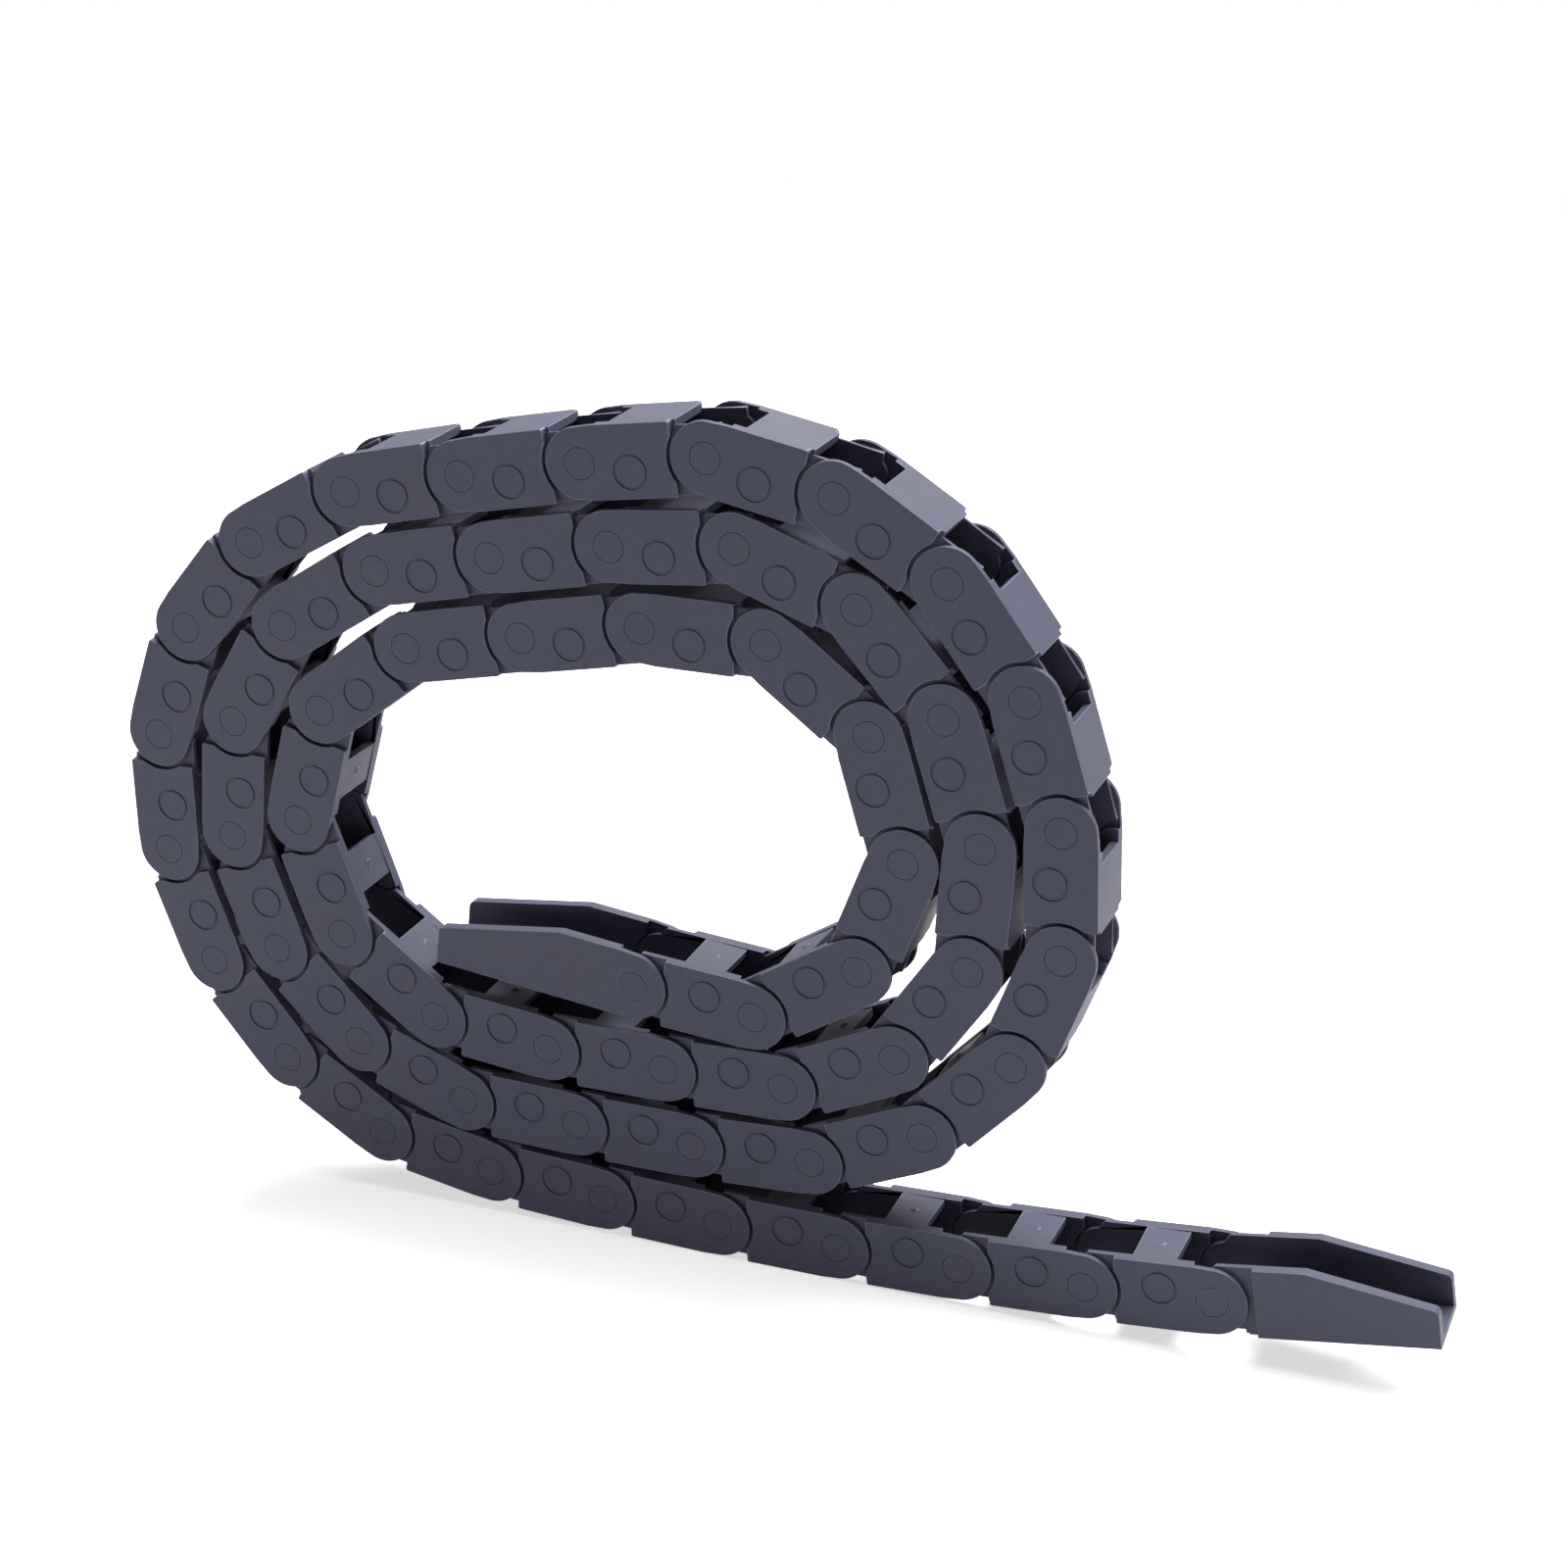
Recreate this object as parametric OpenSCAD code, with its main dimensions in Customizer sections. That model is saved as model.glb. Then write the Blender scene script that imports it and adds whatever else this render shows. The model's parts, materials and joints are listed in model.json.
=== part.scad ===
// Cable drag chain, 7 x 7 mm class, about one metre long, lying coiled on its edge.
// 58 identical one-piece links are snapped together, with a mounting bracket at each end.
// X runs along the coil, Y is the width of the chain (the hinge axes), Z is up.
// Pin 1 carries the outer bracket and pin 59 the inner one; link k runs from pin k to pin k + 1.

/* [Chain] */
// distance between the two hinge axes of one link
pitch = 16; // [15:0.1:17.5]
// number of links between the two brackets
links = 58; // [20:1:58]
// clear width of the cable channel
channel_w = 7; // [5:0.1:10]
// clear height of the cable channel
channel_h = 7; // [6.4:0.1:7.4]
// thickness of a side wall where both laps are present
wall_t = 1.5; // [1.2:0.05:2.4]
// thickness of the bridges that join the two side walls
bridge_t = 1.0; // [0.8:0.05:1.1]
// largest bend of one hinge, at which its stop faces meet
bend_stop = 38.5; // [37.5:0.5:42]

/* [Hinge] */
// diameter of the moulded stub pins
pin_d = 3.8; // [3:0.1:4.4]
// radial clearance of a stub pin in its bore
pin_clearance = 0.05; // [0.03:0.01:0.1]
// side gap between a fork arm and the tab inside it
lap_gap = 0.1; // [0.06:0.01:0.2]
// how much lower than the link body the round fork end is, on each side
fork_inset = 0.15; // [0.05:0.01:0.4]
// length over which the fork end rises to the full height
fork_ramp = 2; // [1:0.1:3]
// gap between the round fork end and the hollow end of the next link's outer lap
end_gap = 0.5; // [0.3:0.05:0.9]
// distance from the tab's hinge axis back to the straight ends of the outer lap
lap_end = 4.0; // [3.4:0.1:4.6]
// distance from the fork's hinge axis to the shoulder of the inner lap
shoulder = 2.3; // [2:0.1:2.8]
// radius of the tab round its stub pin
tab_r = 3.4; // [2.9:0.1:3.7]
// gap between the round tab and the hollow in the shoulder that faces it
tab_gap = 0.2; // [0.1:0.05:0.4]
// how much lower than the link body the tab is on the side that faces out of a bend
tab_inset = 0.7; // [0.4:0.1:1]
// gap between the tab's square toe and the shoulder when the chain lies straight
toe_gap = 0.12; // [0.08:0.01:0.25]

/* [Link details] */
// distance from the fork axis to the bridge on the inside of a bend
inner_bridge_from = 4.5; // [4:0.1:5]
// length of the bridge on the inside of a bend
inner_bridge_len = 5.5; // [4:0.1:6]
// distance from the fork axis to the bridge on the outside of a bend
outer_bridge_from = 3.8; // [3.7:0.1:4.5]
// length of the bridge on the outside of a bend
outer_bridge_len = 8.7; // [6:0.1:8.7]
// diameter of the small pip on the inner bridge
pip_d = 1.0; // [0.6:0.1:2]
// height of that pip above the bridge
pip_h = 0.15; // [0.05:0.01:0.3]
// distance from the fork axis to the centre of the ring mark
ring_x = 6.4; // [5.8:0.1:8]
// offset of the ring mark towards the inside of a bend
ring_y = 1.2; // [0.6:0.1:1.6]
// outer diameter of the ring mark
ring_d = 4.4; // [3:0.1:4.6]
// width of the ring groove
ring_w = 0.35; // [0.2:0.05:0.6]
// depth of the ring groove
ring_deep = 0.15; // [0.08:0.01:0.3]

/* [Brackets] */
// length of a bracket from its hinge axis to its mouth
bracket_len = 27; // [22:0.5:27]
// distance from the hinge axis to the knee where the outer bracket starts to taper
outer_knee = 11.6; // [9:0.1:14]
// the same distance on the inner bracket
inner_knee = 10.5; // [8:0.1:14]
// height of a bracket's wall at its mouth
mouth_h = 4.9; // [4:0.1:7]
// distance from the hinge axis to the walls' outer lap on the outer bracket
outer_lap_from = 5.2; // [4.9:0.1:6]
// radius of the corner at the top of the mouth
mouth_r = 0.8; // [0.4:0.1:1.5]
// diameter of the screw hole in a bracket's floor
screw_d = 3.2; // [2.5:0.1:4]
// distance from the mouth to the middle of the screw hole
screw_inset = 5.5; // [4:0.5:8]
// bend of the hinge that carries the outer bracket, as the chain lies
outer_bracket_bend = 3.9; // [1:0.1:20]
// bend of the hinge that carries the inner bracket, as the chain lies
inner_bracket_bend = 1.8; // [1:0.1:10]

/* [Coil] */
// the coil is wound on an imaginary three-cornered core: its left corner, along X
core_ax = -45.6; // [-48:0.1:-44]
// left corner of the core, along Z
core_az = -10.7; // [-12:0.1:-10]
// right corner of the core, along X
core_bx = -12.1; // [-14:0.1:-11]
// right corner of the core, along Z
core_bz = -10.6; // [-12:0.1:-10]
// top corner of the core, along X
core_cx = -13.7; // [-15:0.1:-12]
// top corner of the core, along Z
core_cz = -4.3; // [-5:0.1:-3]
// distance from the core to the hinge axes where the winding begins
first_r = 18.75; // [18:0.05:20]
// what a full turn adds to that distance, over the height of a link
turn_gap = 1.16; // [1:0.01:2]
// place on the core, in sides passed, where the even winding begins
wind_from = 1.849; // [1.8:0.001:1.9]
// place on the core, in sides passed, where the tail leaves the coil
wind_to = 8.97; // [8.9:0.01:9.1]
// number of hinges inside the even winding, all bent alike near their stops
nest_hinges = 5; // [3:1:5]
// bend of each of those hinges
nest_bend = 37; // [35:0.1:37]
// direction of the tail's first link, in degrees above +X
tail_dir = -10; // [-14:0.5:-8]
// bend of the tail's first hinge
tail_first = 7; // [3:0.5:8]
// bend of each later hinge in the tail
tail_bend = 1.6; // [1:0.1:2]

/* [Hidden] */
$fn = 48;
link_h = channel_h + 2 * bridge_t;
link_w = channel_w + 2 * wall_t;
half_h = link_h / 2;
fork_r = half_h - fork_inset;
bore_d = pin_d + 2 * pin_clearance;
lap_z = channel_w / 2 + wall_t / 2;
turn_step = link_h + turn_gap;
// the tab's stop face ends this far short of the hinge axis, at the top edge
stop_back = (half_h * sin(bend_stop) - shoulder) / cos(bend_stop);
plastic = [0.17, 0.17, 0.2];

// ---- where the hinge axes lie, in the plane of the coil ----
core = [[core_ax, core_az], [core_bx, core_bz], [core_cx, core_cz]];
function heading(d) = atan2(d[1], d[0]);
function unwrap(a, low) = a > low ? a : unwrap(a + 360, low);
side_0 = heading(core[1] - core[0]);
side_1 = unwrap(heading(core[2] - core[1]), side_0);
side_2 = unwrap(heading(core[0] - core[2]), side_1);
sides = [side_0, side_1, side_2, side_0 + 360];

// Point of the winding after u sides: half of each unit runs along a side, half turns round the next corner.
function winding(u) =
    let (turn = floor(u / 3), v = u - 3 * turn, i = floor(v), w = 2 * (v - i))
    let (along = min(w, 1), round = max(w - 1, 0))
    let (h = sides[i] + (sides[i + 1] - sides[i]) * round)
    let (c = core[i] + (core[(i + 1) % 3] - core[i]) * along)
    c + (first_r + turn_step * ((h - side_0) / 360 + turn)) * [sin(h), -cos(h)];

// The next place on the winding that lies one pitch away from where u is.
function next_u(u, lo, hi, n) =
    n == 0 ? (lo + hi) / 2
    : norm(winding((lo + hi) / 2) - winding(u)) < pitch ? next_u(u, (lo + hi) / 2, hi, n - 1)
    : next_u(u, lo, (lo + hi) / 2, n - 1);
function wind(u, left) =
    u > wind_to || left == 0 ? []
    : concat([winding(u)], wind(next_u(u, u, u + 0.9, 30), left - 1));
function step(dir) = pitch * [cos(dir), sin(dir)];

// Each run of hinge axes starts at the point p it is given and leaves that point out.
function nest(p, dir, n) =
    n == 0 ? [] : concat(nest(p - step(dir), dir - nest_bend, n - 1), [p - step(dir)]);
function tail(p, dir, bend, n) =
    n == 0 ? [] : concat([p + step(dir)], tail(p + step(dir), dir + bend, tail_bend, n - 1));

wound = wind(wind_from, links + 1 - nest_hinges);
last = len(wound) - 1;
inside = nest(wound[0], heading(wound[1] - wound[0]) - nest_bend, nest_hinges);
outside = tail(wound[last], tail_dir, tail_first, links - nest_hinges - last);
outward = concat(inside, wound, outside);

// pin[1] to pin[links + 1] count from the outer end of the chain inwards
pin = [for (k = [0 : links + 1]) outward[links + 1 - max(k, 1)]];
dir_of = [for (k = [0 : links]) heading(pin[k + 1] - pin[max(k, 1)])];
outer_dir = dir_of[1] + outer_bracket_bend;
inner_dir = dir_of[links] - inner_bracket_bend;

// ---- the part stands on Z = 0, with X = 0 in the middle ----
function spot(p, dir, x, y) = p + [x * cos(dir) + y * sin(dir), x * sin(dir) - y * cos(dir)];
function corners(k) =
    [for (x = [fork_ramp, pitch - lap_end], y = [-half_h, half_h]) spot(pin[k], dir_of[k], x, y)];
function rims(k) = [for (a = [0 : 90 : 270]) pin[k] + fork_r * [cos(a), sin(a)]];
function foot(p, dir, x) = [for (y = [-half_h, mouth_h - half_h]) spot(p, dir, x, y)];
reach = concat(
    [for (k = [1 : links]) each corners(k)],
    [for (k = [1 : links + 1]) each rims(k)],
    foot(pin[1], outer_dir, -bracket_len),
    foot(pin[links + 1], inner_dir, bracket_len));
mid_x = (max([for (p = reach) p[0]]) + min([for (p = reach) p[0]])) / 2;
floor_z = min([for (p = reach) p[1]]);

function two(k) = str(k < 10 ? "0" : "", k);
function link_name(k) = str("link_", two(k));

// ---- flat shapes: x along the link, +y towards the inside of a bend ----
module block(x0, x1, y0, y1) {
    translate([x0, y0]) square([x1 - x0, y1 - y0]);
}

// One fork arm: round about the hinge axis, rising to the full height of the link.
module fork_flat() {
    circle(r = fork_r);
    polygon([[0, -fork_r], [fork_ramp, -half_h], [fork_ramp, half_h], [0, fork_r]]);
}

// Hollow in the outer lap that clears the next link's fork arm; the tab's axis is at x = 0.
module fork_hollow() {
    circle(r = fork_r + end_gap);
}

// Tab about the hinge axis at x = 0, back to x = -lap_end: a stop face above, a square toe below.
module tab_flat() {
    circle(r = tab_r);
    polygon([[-lap_end, -half_h + tab_inset], [shoulder - toe_gap, -half_h + tab_inset],
             [shoulder - toe_gap, -half_h + tab_inset + wall_t / 2],
             [shoulder * cos(bend_stop), shoulder * sin(bend_stop)], [-stop_back, half_h],
             [-lap_end, half_h]]);
}

// Side of a link from x0 to the straight ends of its outer lap.
module side_flat(x0) {
    block(x0, pitch - lap_end, -half_h, half_h);
}

// Side of a bracket from x0 to its mouth, with the top corner of the mouth rounded.
module bracket_flat(x0, knee) {
    top = mouth_h - half_h;
    slope = atan2(half_h - top, bracket_len - knee);
    mid = [bracket_len - mouth_r, top + mouth_r * (tan(slope) - 1 / cos(slope))];
    polygon([[x0, -half_h], [bracket_len, -half_h], [bracket_len, mid[1]],
             mid + mouth_r * [sin(slope), cos(slope)], [knee, half_h], [x0, half_h]]);
    translate(mid) circle(r = mouth_r);
}

// ---- the three layers of a side wall, made on both sides of the channel ----
module both_walls() {
    children();
    mirror([0, 0, 1]) children();
}
module inner_lap() {
    translate([0, 0, channel_w / 2]) linear_extrude(wall_t / 2 - lap_gap / 2) children();
}
module middle_layer() {
    translate([0, 0, lap_z - lap_gap / 2]) linear_extrude(lap_gap) children();
}
module outer_lap() {
    translate([0, 0, lap_z + lap_gap / 2]) linear_extrude(wall_t / 2 - lap_gap / 2) children();
}
module stub_pin() {
    translate([0, 0, channel_w / 2]) cylinder(d = pin_d, h = wall_t);
}

// Bar across the channel from x0 to x1, between y0 and y1.
module bridge(x0, x1, y0, y1) {
    width = channel_w + wall_t / 2;
    translate([x0, y0, -width / 2]) cube([x1 - x0, y1 - y0, width]);
}

module link() {
    pip_x = inner_bridge_from + inner_bridge_len / 2;
    color(plastic) difference() {
        union() {
            both_walls() {
                inner_lap() {
                    difference() {
                        side_flat(shoulder);
                        circle(r = tab_r + tab_gap);
                    }
                    translate([pitch, 0]) tab_flat();
                }
                middle_layer() difference() {
                    side_flat(shoulder);
                    circle(r = tab_r + tab_gap);
                    translate([pitch, 0]) fork_hollow();
                }
                outer_lap() difference() {
                    union() {
                        fork_flat();
                        side_flat(fork_ramp);
                    }
                    translate([pitch, 0]) fork_hollow();
                    circle(d = bore_d);
                }
                translate([pitch, 0, 0]) stub_pin();
            }
            bridge(inner_bridge_from, inner_bridge_from + inner_bridge_len, channel_h / 2, half_h - pip_h);
            bridge(outer_bridge_from, outer_bridge_from + outer_bridge_len, -half_h, -channel_h / 2);
            translate([pip_x, channel_h / 2, 0]) rotate([-90, 0, 0]) cylinder(d = pip_d, h = bridge_t);
        }
        translate([ring_x, ring_y, link_w / 2 - ring_deep]) linear_extrude(ring_deep + 1) difference() {
            circle(d = ring_d);
            circle(d = ring_d - 2 * ring_w);
        }
    }
}

// Screw hole through a bracket's floor.
module screw_hole(x) {
    translate([x, -half_h - 1, 0]) rotate([-90, 0, 0]) cylinder(d = screw_d, h = bridge_t + 2);
}

// Tab bracket, with its hinge axis at x = 0 and its mouth towards -x.
module outer_bracket() {
    color(plastic) difference() {
        union() {
            both_walls() {
                inner_lap() {
                    mirror([1, 0]) bracket_flat(lap_end, outer_knee);
                    tab_flat();
                }
                middle_layer() mirror([1, 0]) bracket_flat(outer_lap_from, outer_knee);
                outer_lap() mirror([1, 0]) bracket_flat(outer_lap_from, outer_knee);
                stub_pin();
            }
            bridge(-bracket_len, outer_bridge_from + outer_bridge_len - pitch, -half_h, -channel_h / 2);
        }
        screw_hole(screw_inset - bracket_len);
    }
}

// Fork bracket, with its hinge axis at x = 0 and its mouth towards +x.
module inner_bracket() {
    color(plastic) difference() {
        union() {
            both_walls() {
                inner_lap() difference() {
                    bracket_flat(shoulder, inner_knee);
                    circle(r = tab_r + tab_gap);
                }
                middle_layer() difference() {
                    bracket_flat(shoulder, inner_knee);
                    circle(r = tab_r + tab_gap);
                }
                outer_lap() difference() {
                    union() {
                        fork_flat();
                        bracket_flat(fork_ramp, inner_knee);
                    }
                    circle(d = bore_d);
                }
            }
            bridge(outer_bridge_from, bracket_len, -half_h, -channel_h / 2);
        }
        screw_hole(bracket_len - screw_inset);
    }
}

// Stands a piece made flat on its hinge axis p, its x along dir and its width along Y.
module placed(p, dir) {
    translate([p[0] - mid_x, 0, p[1] - floor_z]) rotate([90, 0, 0]) rotate(dir) mirror([0, 1, 0]) children();
}

placed(pin[1], outer_dir) outer_bracket();
for (k = [1 : links])
    placed(pin[k], dir_of[k]) link();
placed(pin[links + 1], inner_dir) inner_bracket();
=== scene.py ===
import json
import math

import bpy
from mathutils import Matrix, Vector


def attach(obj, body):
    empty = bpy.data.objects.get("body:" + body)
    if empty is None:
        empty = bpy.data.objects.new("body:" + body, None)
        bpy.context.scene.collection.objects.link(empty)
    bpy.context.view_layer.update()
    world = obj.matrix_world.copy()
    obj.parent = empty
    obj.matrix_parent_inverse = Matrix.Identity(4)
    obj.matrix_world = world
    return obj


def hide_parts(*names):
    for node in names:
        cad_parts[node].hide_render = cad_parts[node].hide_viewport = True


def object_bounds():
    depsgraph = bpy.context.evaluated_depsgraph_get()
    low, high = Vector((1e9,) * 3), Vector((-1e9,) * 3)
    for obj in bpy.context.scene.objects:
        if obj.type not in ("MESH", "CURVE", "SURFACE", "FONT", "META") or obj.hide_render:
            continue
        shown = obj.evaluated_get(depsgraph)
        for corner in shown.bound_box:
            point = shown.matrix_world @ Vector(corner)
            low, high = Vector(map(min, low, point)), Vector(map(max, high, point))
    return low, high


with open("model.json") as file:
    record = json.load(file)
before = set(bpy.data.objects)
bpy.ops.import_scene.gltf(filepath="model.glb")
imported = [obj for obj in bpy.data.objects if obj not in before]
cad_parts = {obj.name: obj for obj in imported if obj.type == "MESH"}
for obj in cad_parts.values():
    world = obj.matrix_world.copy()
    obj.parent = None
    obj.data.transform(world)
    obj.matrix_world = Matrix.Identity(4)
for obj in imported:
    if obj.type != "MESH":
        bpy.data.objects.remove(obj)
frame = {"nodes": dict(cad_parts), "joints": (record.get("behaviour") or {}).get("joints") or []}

cad_low, cad_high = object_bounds()

# ---------------------------------------------------------------------------
# Link: one injection-moulded piece of dark grey polyamide, with a fork end, a
# tab end and two bridges across the channel. All of them come from one mould,
# so one is finished here and copied to each pair of hinge axes.
# ---------------------------------------------------------------------------
link_names = sorted(name for name in frame["nodes"] if name.startswith("link_"))
hinge_axes = [Vector(joint["pos_m"]) for joint in frame["joints"]]
pitch = (hinge_axes[1] - hinge_axes[0]).length
half_width = cad_high.y
half_height = 0.0045
rim_depth = 0.0008
wall_end = 0.0120
pin_radius = 0.0019
pin_margin = 0.0002
ring_centre = Vector((0.0064, -half_width, -0.0012))
ring_reach = 0.0024

corner_radius = 0.0003
edge_radius = 0.00008
pin_edge_radius = 0.00002

face_colour = (0.043, 0.044, 0.075)
# The rounded edge strips' lighter colour is a painted highlight along the edges.
edge_highlight_colour = (0.105, 0.110, 0.175)


def moulded_grain():
    """What a spark-eroded mould and the melt's flow leave on nylon: clouds, fine grain and pinholes."""
    clouds_per_metre = 140
    mottle_per_metre = 1100
    grain_per_metre = 7000
    pinholes_per_metre = 1700
    noise_span = (0.3, 0.7)
    pinhole_rim = (0.06, 0.16)
    pinhole_patches = (0.52, 0.6)
    pinhole_shade = 0.22
    pinhole_depth = 1.5
    mottle_height = 0.5

    grain = bpy.data.node_groups.new("moulded grain", "ShaderNodeTree")
    for name, kind, start in (
        ("Colour", "NodeSocketColor", (0.05, 0.05, 0.06, 1)),
        ("Cloudiness", "NodeSocketFloat", 0.1),
        ("Base Roughness", "NodeSocketFloat", 0.5),
        ("Grain Depth", "NodeSocketFloat", 0.5),
    ):
        grain.interface.new_socket(name, in_out="INPUT", socket_type=kind).default_value = start
    grain.interface.new_socket("Colour", in_out="OUTPUT", socket_type="NodeSocketColor")
    grain.interface.new_socket("Roughness", in_out="OUTPUT", socket_type="NodeSocketFloat")
    grain.interface.new_socket("Height", in_out="OUTPUT", socket_type="NodeSocketFloat")
    new, join = grain.nodes.new, grain.links.new
    given, made = new("NodeGroupInput"), new("NodeGroupOutput")
    place = new("ShaderNodeTexCoord")

    def noise(per_metre, detail):
        pattern = new("ShaderNodeTexNoise")
        pattern.inputs["Scale"].default_value = per_metre
        pattern.inputs["Detail"].default_value = detail
        pattern.inputs["Roughness"].default_value = 0.55
        join(place.outputs["Object"], pattern.inputs["Vector"])
        return pattern.outputs["Fac"]

    def spread(value, from_span, to_span):
        ramp = new("ShaderNodeMapRange")
        for end, number in zip(("From Min", "From Max", "To Min", "To Max"), from_span + to_span):
            ramp.inputs[end].default_value = number
        join(value, ramp.inputs["Value"])
        return ramp.outputs["Result"]

    def combine(kind, first, second):
        step = new("ShaderNodeMath")
        step.operation = kind
        for socket, value in zip(step.inputs, (first, second)):
            if isinstance(value, (int, float)):
                socket.default_value = value
            else:
                join(value, socket)
        return step.outputs["Value"]

    clouds = noise(clouds_per_metre, detail=3)
    mottle = noise(mottle_per_metre, detail=4)
    fine = noise(grain_per_metre, detail=2)

    holes = new("ShaderNodeTexVoronoi")
    holes.inputs["Scale"].default_value = pinholes_per_metre
    join(place.outputs["Object"], holes.inputs["Vector"])
    inside_hole = spread(holes.outputs["Distance"], pinhole_rim, (1, 0))
    pinholes = combine("MULTIPLY", inside_hole, spread(mottle, pinhole_patches, (0, 1)))

    shade = combine("ADD", spread(clouds, noise_span, (-1, 1)), spread(mottle, noise_span, (-0.7, 0.7)))
    shade = combine("MULTIPLY", shade, given.outputs["Cloudiness"])
    shade = combine("SUBTRACT", shade, combine("MULTIPLY", pinholes, pinhole_shade))
    shade = combine("ADD", shade, 1.0)
    tint = new("ShaderNodeVectorMath")
    tint.operation = "SCALE"
    join(given.outputs["Colour"], tint.inputs[0])
    join(shade, tint.inputs["Scale"])
    join(tint.outputs["Vector"], made.inputs["Colour"])

    uneven = spread(clouds, noise_span, (-0.05, 0.05))
    uneven = combine("ADD", uneven, spread(fine, noise_span, (-0.06, 0.06)))
    join(combine("ADD", given.outputs["Base Roughness"], uneven), made.inputs["Roughness"])

    relief = combine("ADD", combine("MULTIPLY", mottle, mottle_height), fine)
    relief = combine("SUBTRACT", relief, combine("MULTIPLY", pinholes, pinhole_depth))
    join(combine("MULTIPLY", relief, given.outputs["Grain Depth"]), made.inputs["Height"])
    return grain


grain = moulded_grain()


def nylon(name, colour, cloudiness, roughness, grain_depth):
    """Matt grey nylon with the mould's grain."""
    material = bpy.data.materials.new(name)
    material.use_nodes = True
    tree = material.node_tree
    shader = tree.nodes["Principled BSDF"]
    shader.inputs["IOR"].default_value = 1.53
    shader.inputs["Specular IOR Level"].default_value = 0.28
    surface = tree.nodes.new("ShaderNodeGroup")
    surface.node_tree = grain
    surface.inputs["Colour"].default_value = (*colour, 1)
    surface.inputs["Cloudiness"].default_value = cloudiness
    surface.inputs["Base Roughness"].default_value = roughness
    surface.inputs["Grain Depth"].default_value = grain_depth
    bump = tree.nodes.new("ShaderNodeBump")
    bump.inputs["Strength"].default_value = 0.35
    bump.inputs["Distance"].default_value = 0.00004
    tree.links.new(surface.outputs["Colour"], shader.inputs["Base Color"])
    tree.links.new(surface.outputs["Roughness"], shader.inputs["Roughness"])
    tree.links.new(surface.outputs["Height"], bump.inputs["Height"])
    tree.links.new(bump.outputs["Normal"], shader.inputs["Normal"])
    return material


def seat(fork_axis, tab_axis):
    """Where a link lies whose fork end and tab end turn about these two hinge axes."""
    heading = math.atan2(tab_axis.z - fork_axis.z, tab_axis.x - fork_axis.x)
    return Matrix.Translation(fork_axis) @ Matrix.Rotation(-heading, 4, "Y")


def moulding(node, name, place):
    """A merged copy of a CAD node, moved from its place to the origin, its flat faces made whole."""
    same_point = 0.000001
    flat_angle = math.radians(0.5)
    bpy.ops.object.select_all(action="DESELECT")
    piece = bpy.data.objects.new(name, frame["nodes"][node].data.copy())
    bpy.context.scene.collection.objects.link(piece)
    piece.data.transform(place.inverted())
    piece.data.materials.clear()
    piece.select_set(True)
    bpy.context.view_layer.objects.active = piece
    bpy.ops.object.mode_set(mode="EDIT")
    bpy.ops.mesh.select_all(action="SELECT")
    bpy.ops.mesh.remove_doubles(threshold=same_point)
    bpy.ops.mesh.dissolve_limited(angle_limit=flat_angle)
    bpy.ops.object.mode_set(mode="OBJECT")
    return piece


def pick_edges(piece, wanted):
    """Selects the piece's creases for which wanted(one end, other end) is true, and nothing else."""
    crease_angle = math.radians(40)
    bpy.ops.object.mode_set(mode="EDIT")
    bpy.ops.mesh.select_mode(type="EDGE")
    bpy.ops.mesh.select_all(action="DESELECT")
    bpy.ops.mesh.edges_select_sharp(sharpness=crease_angle)
    bpy.ops.object.mode_set(mode="OBJECT")
    corners = piece.data.vertices
    creases = [edge for edge in piece.data.edges if edge.select]
    creases = [edge for edge in creases if wanted(*[corners[i].co for i in edge.vertices])]
    for elements in (corners, piece.data.edges, piece.data.polygons):
        elements.foreach_set("select", [False] * len(elements))
    for edge in creases:
        edge.select = True
        for i in edge.vertices:
            corners[i].select = True
    bpy.ops.object.mode_set(mode="EDIT")


def round_edges(piece, radius, segments, wanted, finish=1):
    """Rounds the chosen creases; the strip has the second material, the painted edge highlight, unless
    finish gives another slot.
    """
    pick_edges(piece, wanted)
    bpy.ops.mesh.bevel(
        offset=radius,
        segments=segments,
        profile=0.5,
        affect="EDGES",
        clamp_overlap=False,
        material=finish,
        loop_slide=True,
    )
    bpy.ops.object.mode_set(mode="OBJECT")


def even_shading(piece):
    """Keeps the flats flat and lets only the rounded strips turn the light."""
    smooth_angle = math.radians(35)
    bpy.ops.object.shade_smooth_by_angle(angle=smooth_angle)
    weights = piece.modifiers.new("flat faces", "WEIGHTED_NORMAL")
    weights.weight = 100
    weights.keep_sharp = True
    bpy.ops.object.modifier_apply(modifier=weights.name)


def near(value, target, reach=0.00002):
    return abs(value - target) < reach


def on_side(a, b):
    """Creases on the two outer side faces."""
    return near(abs(a.y), half_width) and near(abs(b.y), half_width)


def on_pin(a, b):
    """Creases round the pins' ends, one about each of the link's two hinge axes."""
    def beside_axis(point):
        from_axis = min(math.hypot(point.x - along, point.z) for along in (0, pitch))
        return from_axis < pin_radius + pin_margin

    return on_side(a, b) and beside_axis(a) and beside_axis(b)


def on_ring(a, b):
    """Creases of the round mark sunk in one side."""
    return all((point - ring_centre).length < ring_reach for point in (a, b))


def on_lap_corner(a, b):
    """Creases across the walls at the top and bottom corners where the outer lap ends."""
    return near(a.x, b.x) and near(a.z, b.z) and near(a.x, wall_end) and near(abs(a.z), half_height)


def on_outline(a, b):
    """Creases that show: on the outer side faces, or along the top and bottom of walls and bridges."""
    along_rim = all(abs(point.z) > half_height - rim_depth for point in (a, b))
    return (on_side(a, b) or along_rim) and not on_pin(a, b) and not on_ring(a, b)


link_faces = nylon("moulded nylon", face_colour, cloudiness=0.08, roughness=0.62, grain_depth=0.5)
# A lighter nylon on the rounded edge strips: a painted highlight along the edges.
painted_edge_highlight = nylon("nylon with painted edge highlight", edge_highlight_colour, cloudiness=0.1, roughness=0.4, grain_depth=0.25)

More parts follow.
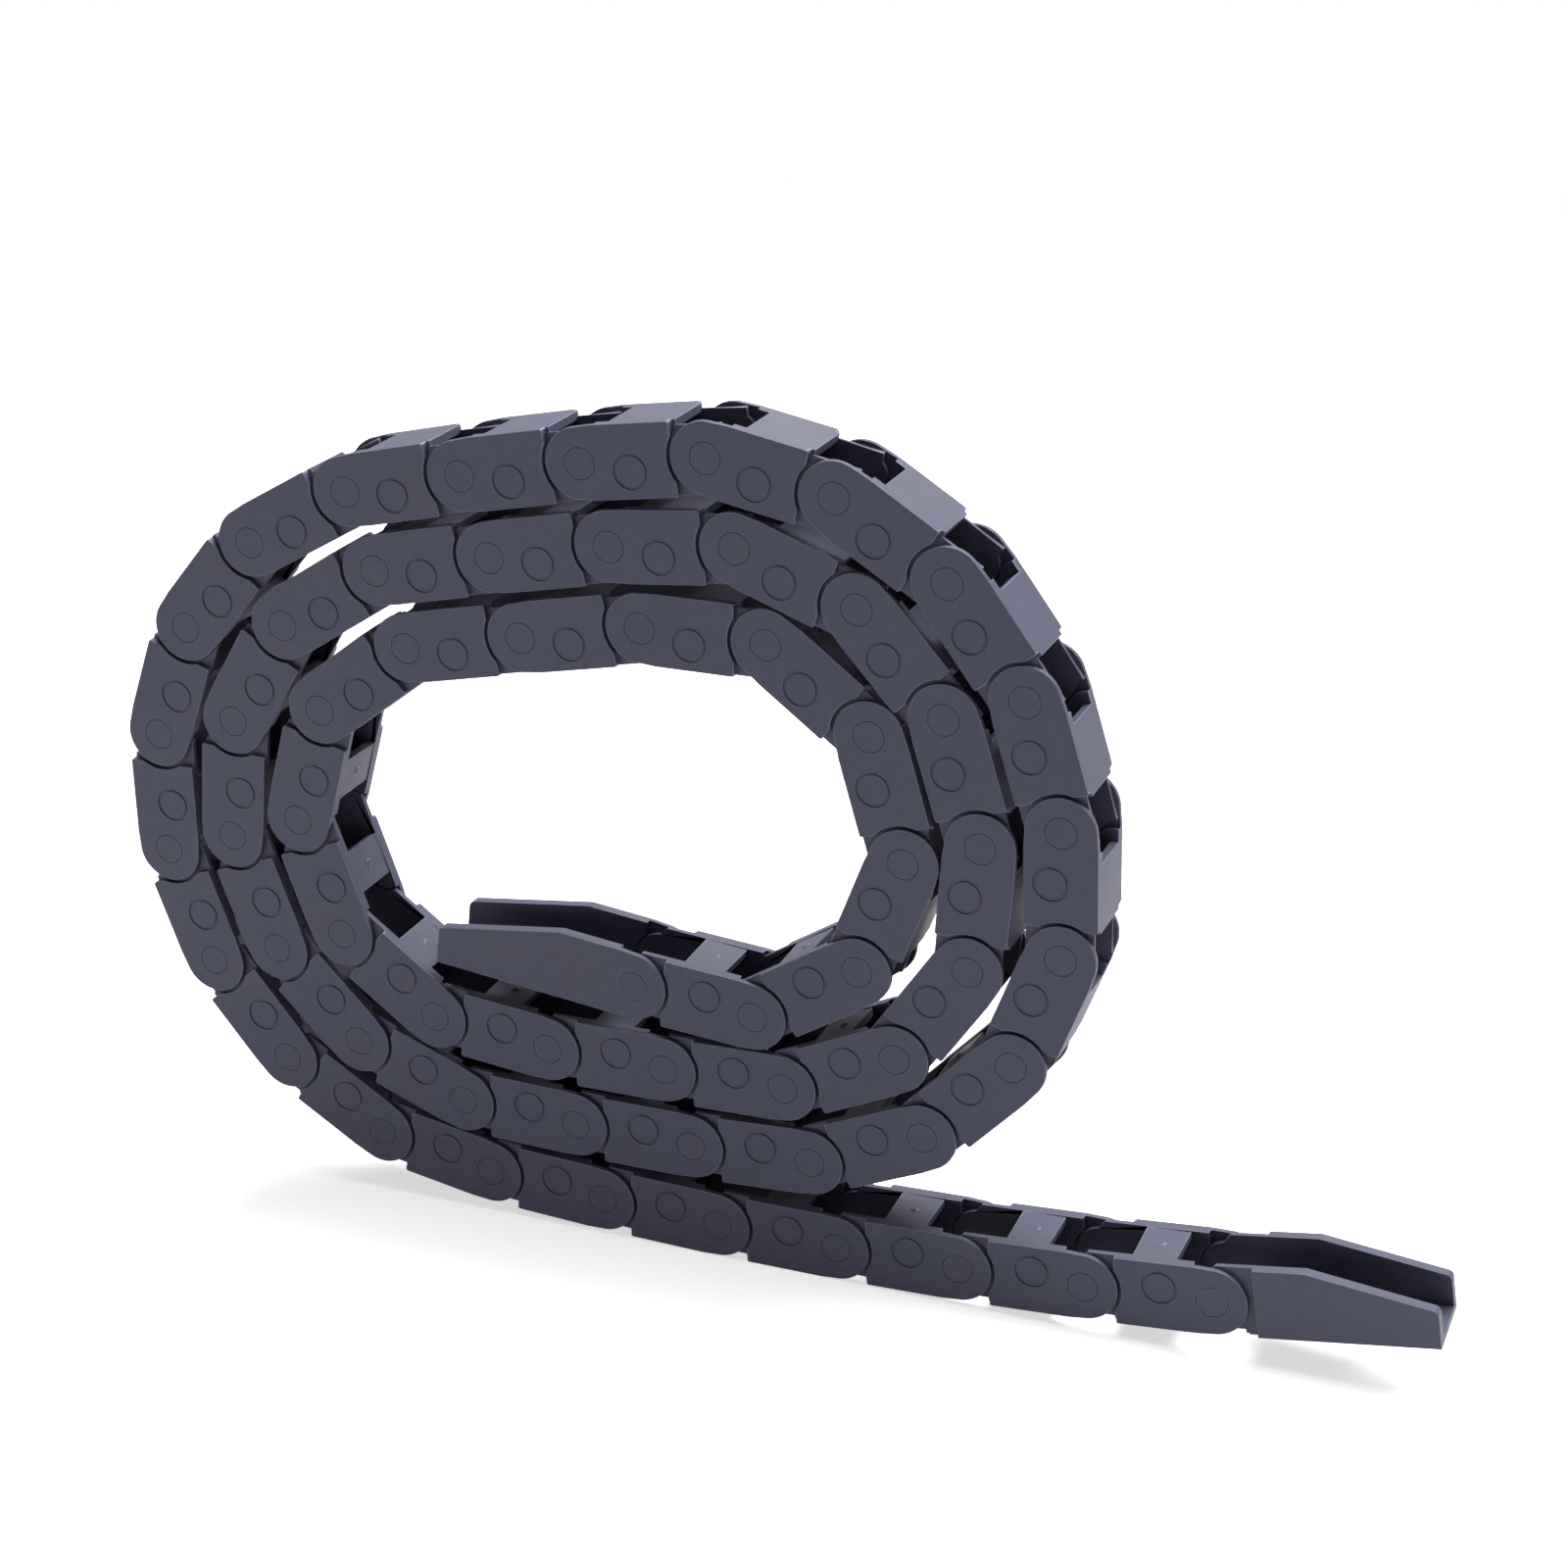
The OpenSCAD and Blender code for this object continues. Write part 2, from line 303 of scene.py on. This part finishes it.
link_moulding = moulding("link_01", "link_moulding", seat(hinge_axes[0], hinge_axes[1]))
for surface in (link_faces, painted_edge_highlight):
    link_moulding.data.materials.append(surface)
# The rounded strips take the painted edge highlight, all but those at the pins.
round_edges(link_moulding, corner_radius, 4, on_lap_corner)
round_edges(link_moulding, pin_edge_radius, 1, on_pin, finish=0)
round_edges(link_moulding, edge_radius, 2, on_outline)
even_shading(link_moulding)

for name, fork_axis, tab_axis in zip(link_names, hinge_axes, hinge_axes[1:]):
    link = bpy.data.objects.new("moulded_" + name, link_moulding.data.copy())
    bpy.context.scene.collection.objects.link(link)
    link.data.transform(seat(fork_axis, tab_axis))
    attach(link, name)
    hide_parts(name)
bpy.data.objects.remove(link_moulding)

# ---------------------------------------------------------------------------
# Brackets: a tab bracket at the outer end and a fork bracket at the inner end,
# moulded in the same nylon with a flat floor, tapered walls and a screw hole.
# ---------------------------------------------------------------------------
bracket_faces = nylon("bracket nylon", face_colour, cloudiness=0.09, roughness=0.6, grain_depth=0.4)

for node in ("outer_bracket", "inner_bracket"):
    bracket = moulding(node, "moulded_" + node, Matrix())
    # The brackets' rounded side edges take the painted edge highlight too.
    for surface in (bracket_faces, painted_edge_highlight):
        bracket.data.materials.append(surface)
    round_edges(bracket, edge_radius, 2, on_side)
    even_shading(bracket)
    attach(bracket, node)
    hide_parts(node)

# ---------------------------------------------------------------------------
# Studio: white paper under the chain, one broad soft light above it and a low
# strip of light in front at the left. What surrounds it gives little light of
# its own and is white only where it is seen straight or in a reflection.
# ---------------------------------------------------------------------------
floor_radius = 0.7
paper_colour = (0.85, 0.85, 0.85, 1)
paper_glow = 0.6
dim = 0.1
white = 1.0


def looked_at(tree):
    """1 where a surface is seen straight, in a reflection or through something clear, else 0."""
    path = tree.nodes.new("ShaderNodeLightPath")
    either = [tree.nodes.new("ShaderNodeMath") for _ in range(2)]
    for step in either:
        step.operation = "MAXIMUM"
    tree.links.new(path.outputs["Is Camera Ray"], either[0].inputs[0])
    tree.links.new(path.outputs["Is Glossy Ray"], either[0].inputs[1])
    tree.links.new(either[0].outputs["Value"], either[1].inputs[0])
    tree.links.new(path.outputs["Is Transmission Ray"], either[1].inputs[1])
    return either[1].outputs["Value"]


bpy.ops.object.select_all(action="DESELECT")
bpy.ops.mesh.primitive_circle_add(
    vertices=96, radius=floor_radius, fill_type="NGON", location=(0, 0, cad_low.z)
)
floor = bpy.context.object
floor.name = "floor"
paper = bpy.data.materials.new("white paper")
paper.use_nodes = True
sheet = paper.node_tree.nodes["Principled BSDF"]
sheet.inputs["Base Color"].default_value = paper_colour
sheet.inputs["Roughness"].default_value = 0.9
sheet.inputs["Emission Color"].default_value = (1, 1, 1, 1)
glow = paper.node_tree.nodes.new("ShaderNodeMath")
glow.operation = "MULTIPLY"
glow.inputs[1].default_value = paper_glow
paper.node_tree.links.new(looked_at(paper.node_tree), glow.inputs[0])
paper.node_tree.links.new(glow.outputs["Value"], sheet.inputs["Emission Strength"])
floor.data.materials.append(paper)

world = bpy.data.worlds.new("studio")
bpy.context.scene.world = world
world.use_nodes = True
studio = world.node_tree
surroundings = studio.nodes["Background"]
surroundings.inputs["Color"].default_value = (1, 1, 1, 1)
level = studio.nodes.new("ShaderNodeMix")
level.inputs["A"].default_value = dim
level.inputs["B"].default_value = white
studio.links.new(looked_at(studio), level.inputs["Factor"])
studio.links.new(level.outputs["Result"], surroundings.inputs["Strength"])

aim = (cad_low + cad_high) / 2
for name, offset, width, height, power in (
    ("overhead softbox", Vector((0.15, 0.35, 0.75)), 1.2, 0.8, 26),
    ("front fill", Vector((-0.42, -0.52, 0.0)), 0.6, 0.09, 0.8),
):
    bpy.ops.object.light_add(type="AREA", location=aim + offset)
    lamp = bpy.context.object
    lamp.name = name
    lamp.data.shape = "RECTANGLE"
    lamp.data.size, lamp.data.size_y = width, height
    lamp.data.energy = power
    lamp.rotation_euler = (-offset).to_track_quat("-Z", "Y").to_euler()

azimuth = math.radians(21)
elevation = math.radians(22.4)
distance = 0.3462
target = Vector((0.009854, -0.005, 0.064778))
back = Vector((
    math.sin(azimuth) * math.cos(elevation),
    -math.cos(azimuth) * math.cos(elevation),
    math.sin(elevation),
))
bpy.ops.object.camera_add(location=target + back * distance)
camera = bpy.context.object
camera.rotation_euler = back.to_track_quat("Z", "Y").to_euler()
camera.data.sensor_width = 36
camera.data.lens = 67.86
camera.data.shift_x = -0.0275
camera.data.shift_y = 0.0106
camera.data.clip_start = 0.01
camera.data.clip_end = 20
bpy.context.scene.camera = camera
bpy.context.scene.view_settings.view_transform = "Standard"
